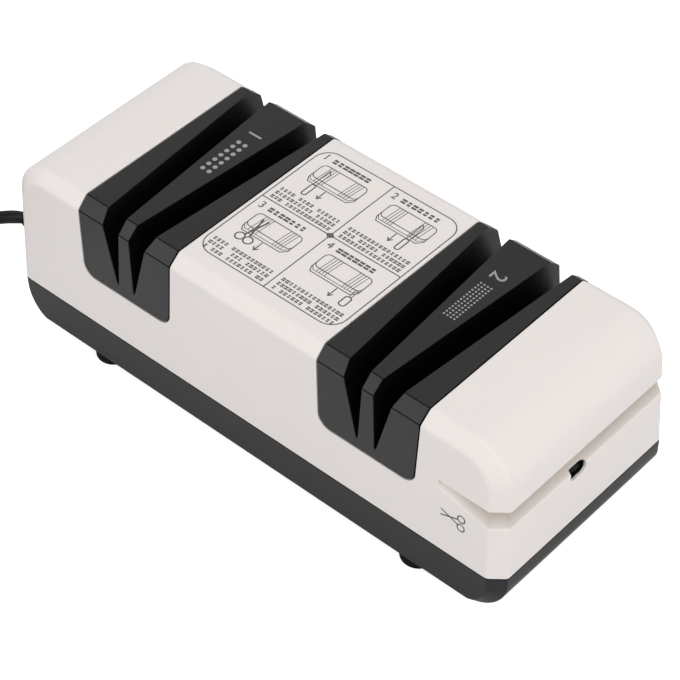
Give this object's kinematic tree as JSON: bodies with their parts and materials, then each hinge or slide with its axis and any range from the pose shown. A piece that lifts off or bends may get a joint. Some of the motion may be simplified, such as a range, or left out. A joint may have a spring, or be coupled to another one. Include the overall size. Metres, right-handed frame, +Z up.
{
  "type": "electric knife sharpener",
  "caption": "Bench knife sharpener: long rounded housing on a dark tray, two guide inserts with slanting V slots over grinding wheels, groove and hole in one end, mains cord.",
  "frame": {"origin": "middle of the footprint, on the surface that the feet stand on, the cord left out", "axes": "+X along the body to the end with the groove, +Y from the printed front to the back, +Z up"},
  "size_m": [0.3596, 0.1528, 0.0777],
  "materials": {
    "white_plastic": "satin off-white ABS",
    "grey_plastic": "satin dark grey ABS",
    "black_plastic": "satin black",
    "rubber": "matte",
    "cord_vinyl": "soft vinyl, satin",
    "abrasive": "rough bonded grit",
    "steel": "zinc plated",
    "bronze": "sintered",
    "laminations": "oiled steel sheet",
    "copper": "enamelled wire under tape"
  },
  "bodies": {
    "body": {"upper_housing": "white_plastic", "base_tray": "grey_plastic", "coarse_guide": "grey_plastic", "fine_guide": "grey_plastic", "foot_front_left": "rubber", "foot_front_right": "rubber", "foot_back_left": "rubber", "foot_back_right": "rubber", "housing_screw_1": "steel", "housing_screw_2": "steel", "housing_screw_3": "steel", "housing_screw_4": "steel", "motor_stator": "laminations", "motor_coil": "copper", "motor_bracket_left": "laminations", "motor_bush_left": "bronze", "motor_bracket_right": "laminations", "motor_bush_right": "bronze", "motor_bolt_1": "steel", "motor_bolt_2": "steel", "bearing_block_left": "grey_plastic", "bearing_bush_left": "bronze", "bearing_block_right": "grey_plastic", "bearing_bush_right": "bronze", "power_switch_body": "black_plastic", "strain_relief": "rubber", "cord_tail": "cord_vinyl", "cord_clamp": "grey_plastic", "clamp_screw_1": "steel", "clamp_screw_2": "steel", "live_lead": "cord_vinyl", "neutral_lead": "cord_vinyl", "switched_lead": "cord_vinyl", "power_cord": "cord_vinyl", "power_cord_coil": "cord_vinyl", "cord_tie": "rubber", "plug_body": "black_plastic", "plug_blade_1": "steel", "plug_blade_2": "steel"},
    "shaft": {"main_shaft": "steel", "motor_rotor": "laminations", "cooling_fan": "black_plastic", "coarse_wheel": "abrasive", "coarse_wheel_hub": "steel", "coarse_wheel_nut": "steel", "fine_wheel": "abrasive", "fine_wheel_hub": "steel", "fine_wheel_nut": "steel", "end_wheel": "abrasive", "end_wheel_hub": "steel", "end_wheel_nut": "steel"},
    "rocker": {"power_switch_rocker": "black_plastic"}
  },
  "joints": [
    {"name": "shaft_spin", "type": "hinge", "parent": "body", "child": "shaft", "pos_m": [0, 0, 0.0383], "axis": [1, 0, 0], "continuous": true},
    {"name": "switch_rock", "type": "hinge", "parent": "body", "child": "rocker", "pos_m": [-0.11092, 0.016, 0.04329], "axis": [0, -1, 0], "range_deg": [0, 18]}
  ]
}
